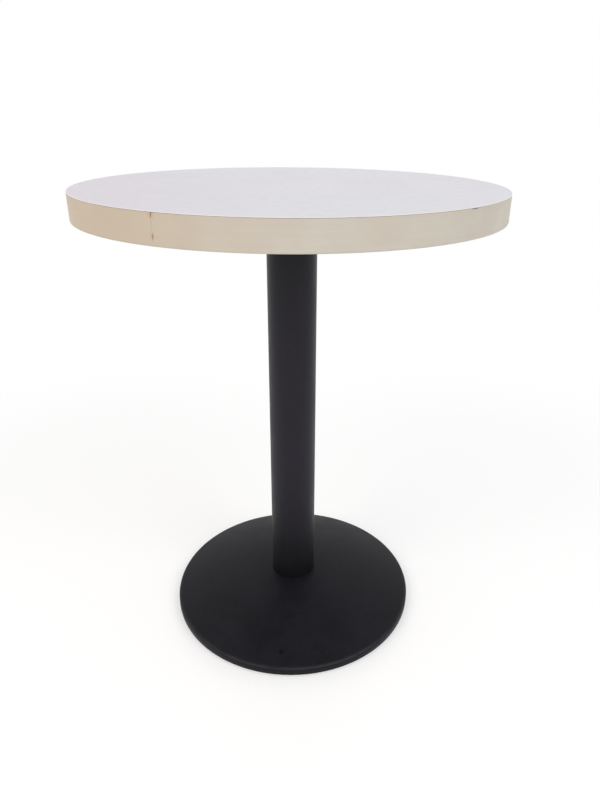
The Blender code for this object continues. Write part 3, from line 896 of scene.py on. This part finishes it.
def make_welds(black):
    """The beads between the arms and the hub, and round the collar."""
    bottom, _, half = spider_sizes()
    down = Vector((0, 0, -1))
    reach = ARM_WIDTH / 2 * ARM_BEAD_SHARE
    steps = [2 * i / ARM_BEAD_STEPS - 1 for i in range(ARM_BEAD_STEPS + 1)]
    line = [(Vector((half + GAP / 2, reach * step, bottom)), down) for step in steps]
    bead = weld_bead("arm_weld_1", line, ARM_BEAD_WIDTH, closed=False)
    paint(bead, black)
    for weld, angle in zip(repeated(bead, "arm_weld", ARM_COUNT), turn_angles(ARM_COUNT, FIRST_ARM_ANGLE)):
        weld.rotation_euler.z = angle
        piece(weld, "table", "black_powder_coat")

    outer = collar_radii()[1]
    ripples = round(2 * pi * outer / BEAD_RIPPLE)
    outwards = [Vector((cos(a), sin(a), 0)) for a in turn_angles(ripples * BEAD_RIPPLE_STEPS)]
    ring = [(out * outer + Vector((0, 0, bottom)), (out + down).normalized()) for out in outwards]
    collar_weld = weld_bead("collar_weld", ring, COLLAR_BEAD_WIDTH, closed=True)
    paint(collar_weld, black)
    piece(collar_weld, "table", "black_powder_coat")


def cross_recess():
    """The tapered cross in the head of a wood screw, as a cutter."""
    half, span = CROSS_WIDTH / 2, CROSS_SPAN / 2
    outline = four_way([(span, -half), (span, half), (half, half)])
    mouth = -SCREW_HEAD_HEIGHT - CROSS_RISE
    floor = -SCREW_HEAD_HEIGHT + CROSS_DEPTH
    recess = make_object("cross_recess", extruded(outline, mouth, floor, CROSS_TAPER))
    recess.rotation_euler.z = CUT_TURN
    return recess


def make_screws(steel):
    """The wood screws, each turned a little differently, with a cross recess and a real thread."""
    low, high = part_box("top_screw_1")
    head, shank, ease = (high.x - low.x) / 2, SCREW_DIAMETER / 2, SCREW_HEAD_EASE
    crown = SCREW_HEAD_HEIGHT - SCREW_HEAD_RIM
    length = high.z - low.z - SCREW_HEAD_HEIGHT
    angles = [pi / 2 * (1 - i / SCREW_CROWN_STEPS) for i in range(1, SCREW_CROWN_STEPS + 1)]
    rows, shape = thread(shank, SCREW_THREAD, SCREW_PITCH, SCREW_NECK, length - SCREW_POINT)
    profile = [(0, -SCREW_HEAD_HEIGHT)]
    profile += [(head * cos(a), -SCREW_HEAD_RIM - crown * sin(a)) for a in angles]
    profile += [(head, -ease), (head - ease, 0), (shank, 0)] + rows + [(0, length)]
    first = turned("wood_screw_1", profile, SCREW_SEGMENTS, shape=shape)
    combine(first, cross_recess())
    paint(first, steel)
    for number, screw in enumerate(repeated(first, "wood_screw", SCREW_COUNT), 1):
        node = f"top_screw_{number}"
        screw.location = (*middle(node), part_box(node)[0].z + SCREW_HEAD_HEIGHT)
        screw.rotation_euler.z = SCREW_TURN * number * number
        piece(screw, "table", "zinc_steel", node)


def make_bolt(name, node, sizes, steel, points_up):
    """A countersunk bolt with a hexagon socket and a real thread."""
    low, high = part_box(node)
    length, wide, shank = high.z - low.z, high.x, sizes["diameter"] / 2
    neck, pitch = BOLT_LAND + wide - shank, sizes["pitch"]
    rows, shape = thread(shank, pitch * THREAD_DEPTH_SHARE, pitch, neck + BOLT_NECK, length - BOLT_CHAMFER)
    profile = [(0, 0), (wide - BOLT_EASE, 0), (wide, BOLT_EASE), (wide, BOLT_LAND), (shank, neck)]
    profile += rows + [(shank - BOLT_CHAMFER, length), (0, length)]
    bolt = turned(name, profile, SMALL_SEGMENTS, shape=shape)
    socket = make_object("socket", extruded(hexagon(sizes["key"]), -CUT_MARGIN, sizes["key_depth"]))
    socket.rotation_euler.z = CUT_TURN
    combine(bolt, socket)
    if points_up:
        bolt.location.z = low.z
    else:
        bolt.matrix_world = Matrix.Translation((0, 0, high.z)) @ Matrix.Rotation(pi, 4, "X")
    paint(bolt, steel)
    piece(bolt, "table", "zinc_steel", node)


def make_pad(nylon):
    """The first pad: a grooved sole, round edges, and the socket for the stud's pin."""
    low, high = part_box("glide_pad_1")
    radius, top = (high.x - low.x) / 2, high.z
    socket, ease = STUD_PIN_DIAMETER / 2 + GAP, PAD_SOCKET_EASE
    inner, outer, depth = PAD_GROOVE
    profile = [(0, 0), (inner, 0), (inner + depth, depth), (outer - depth, depth), (outer, 0)]
    profile += lower_round(radius, 0.0, PAD_EASE, steps=6) + upper_round(radius, top, PAD_EASE, steps=6)
    profile += [(socket + ease, top), (socket, top - ease), (socket, PAD_FLOOR), (0, PAD_FLOOR)]
    pad = turned("pad_1", profile, SMALL_SEGMENTS)
    paint(pad, nylon)
    return pad


def stud_hexagon(bottom, top):
    """The hexagon of a stud: a chamfered blank, cut to six sides."""
    half, chamfer = STUD_HEX_WIDTH / 2, STUD_HEX_CHAMFER
    flat = half * STUD_HEX_FACE
    wide = half / cos(pi / 6) * STUD_HEX_BLANK
    blank = [(0, bottom), (flat, bottom), (wide, bottom + chamfer)]
    blank += [(wide, top - chamfer), (flat, top), (0, top)]
    nut = turned("hex", blank, SMALL_SEGMENTS)
    nut.rotation_euler.z = CUT_TURN
    prism = extruded(hexagon(STUD_HEX_WIDTH), bottom - CUT_MARGIN, top + CUT_MARGIN)
    combine(nut, make_object("prism", prism), "INTERSECT")
    return nut


def make_stud(steel):
    """The first stud: pin, chamfered hexagon and threaded shank."""
    low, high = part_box("glide_stud_1")
    hex_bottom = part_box("glide_pad_1")[1].z + GAP
    hex_middle = hex_bottom + STUD_HEX_HEIGHT / 2
    hex_top = hex_bottom + STUD_HEX_HEIGHT
    shank, pin, ease = STUD_DIAMETER / 2, STUD_PIN_DIAMETER / 2, STUD_PIN_EASE
    start = hex_top + STUD_NECK
    end = high.z - STUD_CHAMFER
    rows, shape = thread(shank, STUD_PITCH * THREAD_DEPTH_SHARE, STUD_PITCH, start, end)
    profile = [(0, low.z), (pin - ease, low.z), (pin, low.z + ease), (pin, hex_middle), (shank, hex_middle)]
    profile += rows + [(shank - STUD_CHAMFER, high.z), (0, high.z)]
    stud = turned("stud_1", profile, SCREW_SEGMENTS, shape=shape)
    combine(stud, stud_hexagon(hex_bottom, hex_top), "UNION")
    paint(stud, steel)
    return stud


def make_glides(nylon, steel):
    """The pads and the studs, each on its own body."""
    kinds = (("pad", "black_nylon", make_pad(nylon)), ("stud", "zinc_steel", make_stud(steel)))
    for kind, slot, first in kinds:
        for number, obj in enumerate(repeated(first, kind, GLIDE_COUNT), 1):
            node = f"glide_{kind}_{number}"
            obj.location = (*middle(node), 0)
            piece(obj, f"{kind}_{number}", slot, node)


def keep_node(name, material):
    """A node whose shape is right, with a better material."""
    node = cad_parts[name]
    for holder in node.material_slots:
        holder.material = material


def seen_share(tree):
    """A socket that is one for rays that show the surroundings, and zero for rays that light the object."""
    path = tree.nodes.new("ShaderNodeLightPath")
    total = path.outputs["Is Camera Ray"]
    for name in ("Is Glossy Ray", "Is Transmission Ray"):
        node = tree.nodes.new("ShaderNodeMath")
        node.operation = "MAXIMUM"
        tree.links.new(total, node.inputs[0])
        tree.links.new(path.outputs[name], node.inputs[1])
        total = node.outputs[0]
    return total


def make_world():
    """White where it shows, and a plainer level where it lights."""
    world = bpy.data.worlds.new("studio")
    bpy.context.scene.world = world
    world.use_nodes = True
    tree = world.node_tree
    sky = tree.nodes["Background"]
    sky.inputs["Color"].default_value = (1, 1, 1, 1)
    level = tree.nodes.new("ShaderNodeMapRange")
    tree.links.new(seen_share(tree), level.inputs["Value"])
    level.inputs["To Min"].default_value = AMBIENT
    level.inputs["To Max"].default_value = 1.0
    tree.links.new(level.outputs[0], sky.inputs["Strength"])


def floor_material():
    """Pale floor that keeps the shadow, fades to white away from the table, and is clear from below."""
    graph = Graph("floor")
    tree = graph.tree
    tree.nodes.remove(graph.shader)
    seen = seen_share(tree)
    matt = graph.add("ShaderNodeBsdfDiffuse", {"Color": srgb(*FLOOR_COLOUR)})
    lift = graph.add("ShaderNodeEmission", {"Strength": graph.math("MULTIPLY", seen, FLOOR_LIFT)})
    near = graph.add("ShaderNodeAddShader", {0: matt.outputs[0], 1: lift.outputs[0]})
    white = graph.add("ShaderNodeEmission", {"Strength": 1.0})
    far = graph.math("MULTIPLY", seen, graph.ramp(graph.radius(), *FLOOR_FADE))
    above = graph.add("ShaderNodeMixShader", {0: far, 1: near.outputs[0], 2: white.outputs[0]})
    behind = graph.add("ShaderNodeNewGeometry").outputs["Backfacing"]
    clear = graph.add("ShaderNodeBsdfTransparent")
    both = graph.add("ShaderNodeMixShader", {0: behind, 1: above.outputs[0], 2: clear.outputs[0]})
    tree.links.new(both.outputs[0], tree.nodes["Material Output"].inputs["Surface"])
    return graph.material


def make_floor():
    """A round floor just below the feet."""
    bm = bmesh.new()
    angles = turn_angles(FLOOR_SIDES)
    corners = [(FLOOR_RADIUS * cos(a), FLOOR_RADIUS * sin(a), -FLOOR_DROP) for a in angles]
    bm.faces.new([bm.verts.new(corner) for corner in corners])
    floor = make_object("floor", bm, closed=False)
    paint(floor, floor_material())


def make_lamps():
    """Round area lamps, all aimed at the middle of the table."""
    for name, (place, power, colour, in_gloss) in LAMPS.items():
        lamp = bpy.data.lights.new(name, "AREA")
        lamp.shape = "DISK"
        lamp.size = LAMP_SIZE
        lamp.energy = power
        lamp.color = colour
        obj = bpy.data.objects.new(name, lamp)
        obj.location = place
        obj.rotation_euler = (Vector(LAMP_TARGET) - Vector(place)).to_track_quat("-Z", "Y").to_euler()
        obj.visible_glossy = in_gloss
        bpy.context.scene.collection.objects.link(obj)


def make_camera():
    """The camera, from its place, its angles, and the pixel that its axis goes through."""
    ahead = cos(CAMERA_PITCH)
    forward = Vector((sin(CAMERA_YAW) * ahead, cos(CAMERA_YAW) * ahead, -sin(CAMERA_PITCH)))
    level = Vector((cos(CAMERA_YAW), -sin(CAMERA_YAW), 0))
    steep = level.cross(forward)
    right = level * cos(CAMERA_ROLL) + steep * sin(CAMERA_ROLL)
    up = steep * cos(CAMERA_ROLL) - level * sin(CAMERA_ROLL)
    lens = bpy.data.cameras.new("camera")
    lens.sensor_fit = "VERTICAL"
    lens.sensor_height = SENSOR_HEIGHT
    lens.lens = FOCAL_PIXELS * SENSOR_HEIGHT / FRAME_HEIGHT
    lens.shift_x = (FRAME_WIDTH / 2 - CENTRE_PIXEL[0]) / FRAME_HEIGHT
    lens.shift_y = (CENTRE_PIXEL[1] - FRAME_HEIGHT / 2) / FRAME_HEIGHT
    camera = bpy.data.objects.new("camera", lens)
    turn = Matrix((right, up, -forward)).transposed().to_4x4()
    camera.matrix_world = Matrix.Translation(CAMERA_PLACE) @ turn
    bpy.context.scene.collection.objects.link(camera)
    bpy.context.scene.camera = camera


def main():
    bpy.context.scene.view_settings.view_transform = "Standard"
    make_camera()
    make_world()
    make_lamps()
    make_floor()

    coat = (COAT_COLOURS, COAT_SPECULAR, COAT_ROUGHNESS)
    base_coat = (BASE_COLOURS, BASE_SPECULAR, BASE_ROUGHNESS)
    black = coat_material("black_powder_coat", *coat)
    # The base's copy of the coat carries the painted highlight on its rim
    base_black = coat_material("base_powder_coat", *base_coat, mark=BASE_MARK, wear=RIM_HIGHLIGHT)
    # The column's copy of the coat carries painted shade at its foot
    column_black = coat_material("column_powder_coat", *coat, shade=COLUMN_SHADE)
    steel = zinc_material()

    make_top_sheet(laminate_material(), core_line_material())
    make_band(band_material())
    make_column(column_black)
    make_cover(base_black)
    make_plate(black)
    make_hub(black)
    make_arms(black)
    make_welds(black)
    make_screws(steel)
    make_bolt("base_socket_bolt", "base_bolt", BASE_BOLT, steel, points_up=True)
    make_bolt("hub_socket_bolt", "hub_bolt", HUB_BOLT, steel, points_up=False)
    make_glides(nylon_material(), steel)
    keep_node("core_board", chipboard_material())
    keep_node("backing_sheet", backing_material())
    keep_node("head_plug", steel)
    keep_node("foot_plug", steel)


main()
